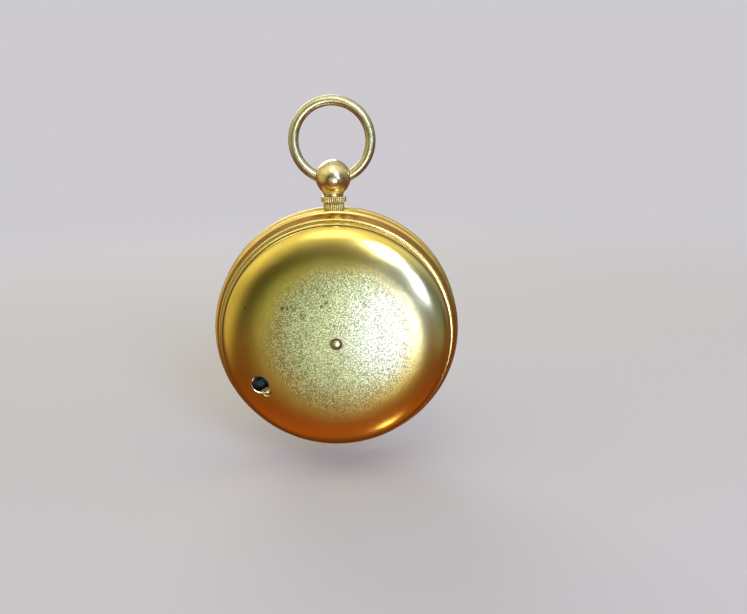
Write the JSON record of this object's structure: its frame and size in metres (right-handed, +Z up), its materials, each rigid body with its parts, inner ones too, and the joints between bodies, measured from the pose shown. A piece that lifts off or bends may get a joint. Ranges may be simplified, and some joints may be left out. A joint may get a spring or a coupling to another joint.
{
  "type": "open face pocket watch",
  "caption": "Key wound open face pocket watch in a gilt case, hanging by a round bow, with a back that has a shuttered winding hole and a full going train.",
  "frame": {"origin": "the hanging point, the lowest point of the bow's inner top", "axes": "+Z up through the pendant, +X to the right as seen from the dial, the dial faces -Y and the back faces +Y"},
  "size_m": [0.0486, 0.0163, 0.0693],
  "materials": {
    "gilt_polished": "polished",
    "gilt_matte": "matte, satin at the edge",
    "gilt_movement": "matte",
    "brass_plate": "satin",
    "steel": "polished",
    "spring_steel": "satin",
    "blued_steel": "polished",
    "enamel": "gloss",
    "copper": "satin",
    "ruby": "gloss",
    "crystal": "clear"
  },
  "bodies": {
    "bow": {"bow": "gilt_polished"},
    "case": {"pendant_ball": "gilt_polished", "pendant_collar": "gilt_polished", "pendant_stem": "gilt_polished", "back_cup": "gilt_matte", "shutter_rivet": "gilt_polished", "case_middle": "gilt_polished", "bezel_hinge_pin": "steel", "case_screws": "blued_steel", "dial": "enamel", "dial_feet": "copper", "minute_stud": "steel", "pillar_plate": "gilt_movement", "top_plate": "gilt_movement", "pillars": "gilt_movement", "plate_screws": "blued_steel", "plate_jewels": "ruby", "winding_bridge": "gilt_movement", "click_spring": "spring_steel", "potence": "gilt_movement", "hairspring_stud": "steel", "balance_cock": "gilt_movement", "cock_jewel": "ruby"},
    "bezel": {"bezel": "gilt_polished", "crystal": "crystal"},
    "shutter": {"winding_shutter": "brass_plate", "shutter_nib": "gilt_polished"},
    "centre_train": {"centre_arbor": "steel", "centre_wheel": "brass_plate", "cannon_pinion": "steel", "minute_hand": "blued_steel"},
    "minute_work": {"minute_wheel": "brass_plate"},
    "hour_work": {"hour_wheel": "brass_plate", "hour_hand": "blued_steel"},
    "barrel": {"barrel": "brass_plate", "barrel_cover": "brass_plate", "mainspring": "spring_steel"},
    "third_train": {"third_arbor": "steel", "third_wheel": "brass_plate"},
    "fourth_train": {"fourth_arbor": "steel", "fourth_wheel": "brass_plate"},
    "escape_train": {"escape_arbor": "steel", "escape_wheel": "brass_plate"},
    "barrel_arbor": {"barrel_arbor": "steel", "ratchet_wheel": "steel", "ratchet_screw": "blued_steel"},
    "winding_arbor": {"winding_arbor": "steel"},
    "click": {"click": "steel"},
    "lever": {"pallet_lever": "steel", "pallet_stones": "ruby", "pallet_arbor": "steel"},
    "balance": {"balance_wheel": "brass_plate", "balance_screws": "brass_plate", "balance_staff": "steel", "impulse_roller": "steel", "hairspring": "blued_steel"},
    "regulator": {"regulator_index": "blued_steel"}
  },
  "joints": [
    {"name": "bow_swing", "type": "hinge", "parent": "bow", "child": "case", "pos_m": [0, 0, -0.01313], "axis": [1, 0, 0], "range_deg": [-115, 115]},
    {"name": "bezel_open", "type": "hinge", "parent": "case", "child": "bezel", "pos_m": [0, -0.00262, -0.06673], "axis": [1, 0, 0], "range_deg": [0, 90]},
    {"name": "shutter_turn", "type": "hinge", "parent": "case", "child": "shutter", "pos_m": [0, 0.0094, -0.04313], "axis": [0, -1, 0], "range_deg": [0, 10]},
    {"name": "centre_turn", "type": "hinge", "parent": "case", "child": "centre_train", "pos_m": [0, 0.003, -0.04313], "axis": [0, -1, 0], "continuous": true},
    {"name": "minute_wheel_turn", "type": "hinge", "parent": "case", "child": "minute_work", "pos_m": [0, 0.0011, -0.04673], "axis": [0, -1, 0], "continuous": true},
    {"name": "hour_turn", "type": "hinge", "parent": "case", "child": "hour_work", "pos_m": [0, 0.0006, -0.04313], "axis": [0, -1, 0], "continuous": true},
    {"name": "barrel_turn", "type": "hinge", "parent": "case", "child": "barrel", "pos_m": [0.00877, 0.0046, -0.04793], "axis": [0, -1, 0], "continuous": true},
    {"name": "third_turn", "type": "hinge", "parent": "case", "child": "third_train", "pos_m": [-0.0056, 0.004, -0.04705], "axis": [0, -1, 0], "continuous": true},
    {"name": "fourth_turn", "type": "hinge", "parent": "case", "child": "fourth_train", "pos_m": [-0.00977, 0.0048, -0.04356], "axis": [0, -1, 0], "continuous": true},
    {"name": "escape_turn", "type": "hinge", "parent": "case", "child": "escape_train", "pos_m": [-0.00847, 0.0055, -0.03869], "axis": [0, -1, 0], "continuous": true},
    {"name": "arbor_turn", "type": "hinge", "parent": "case", "child": "barrel_arbor", "pos_m": [0.00877, 0.0066, -0.04793], "axis": [0, -1, 0], "continuous": true},
    {"name": "winding_turn", "type": "hinge", "parent": "case", "child": "winding_arbor", "pos_m": [0.0148, 0.0066, -0.05123], "axis": [0, -1, 0], "continuous": true},
    {"name": "click_rock", "type": "hinge", "parent": "case", "child": "click", "pos_m": [0.01103, 0.0066, -0.04173], "axis": [0, -1, 0], "range_deg": [0, 6], "stiffness_Nm_per_rad": 0.00002, "springref_deg": -5.73},
    {"name": "lever_rock", "type": "hinge", "parent": "case", "child": "lever", "pos_m": [-0.00499, 0.0055, -0.03742], "axis": [0, -1, 0], "range_deg": [-5, 5]},
    {"name": "balance_swing", "type": "hinge", "parent": "case", "child": "balance", "pos_m": [-0.00095, 0.0076, -0.03595], "axis": [0, -1, 0], "range_deg": [-270, 270], "stiffness_Nm_per_rad": 0.0000019, "deforming": ["hairspring"]},
    {"name": "regulator_turn", "type": "hinge", "parent": "case", "child": "regulator", "pos_m": [-0.00095, 0.007, -0.03595], "axis": [0, -1, 0], "range_deg": [-20, 20]}
  ],
  "couplings": [
    {"joint": "minute_wheel_turn", "follows": "centre_turn", "ratio": -0.33333},
    {"joint": "hour_turn", "follows": "centre_turn", "ratio": 0.083333},
    {"joint": "barrel_turn", "follows": "centre_turn", "ratio": -0.16667},
    {"joint": "third_turn", "follows": "centre_turn", "ratio": -8},
    {"joint": "fourth_turn", "follows": "centre_turn", "ratio": 60},
    {"joint": "escape_turn", "follows": "centre_turn", "ratio": -480},
    {"joint": "winding_turn", "follows": "arbor_turn", "ratio": -2.4286}
  ]
}
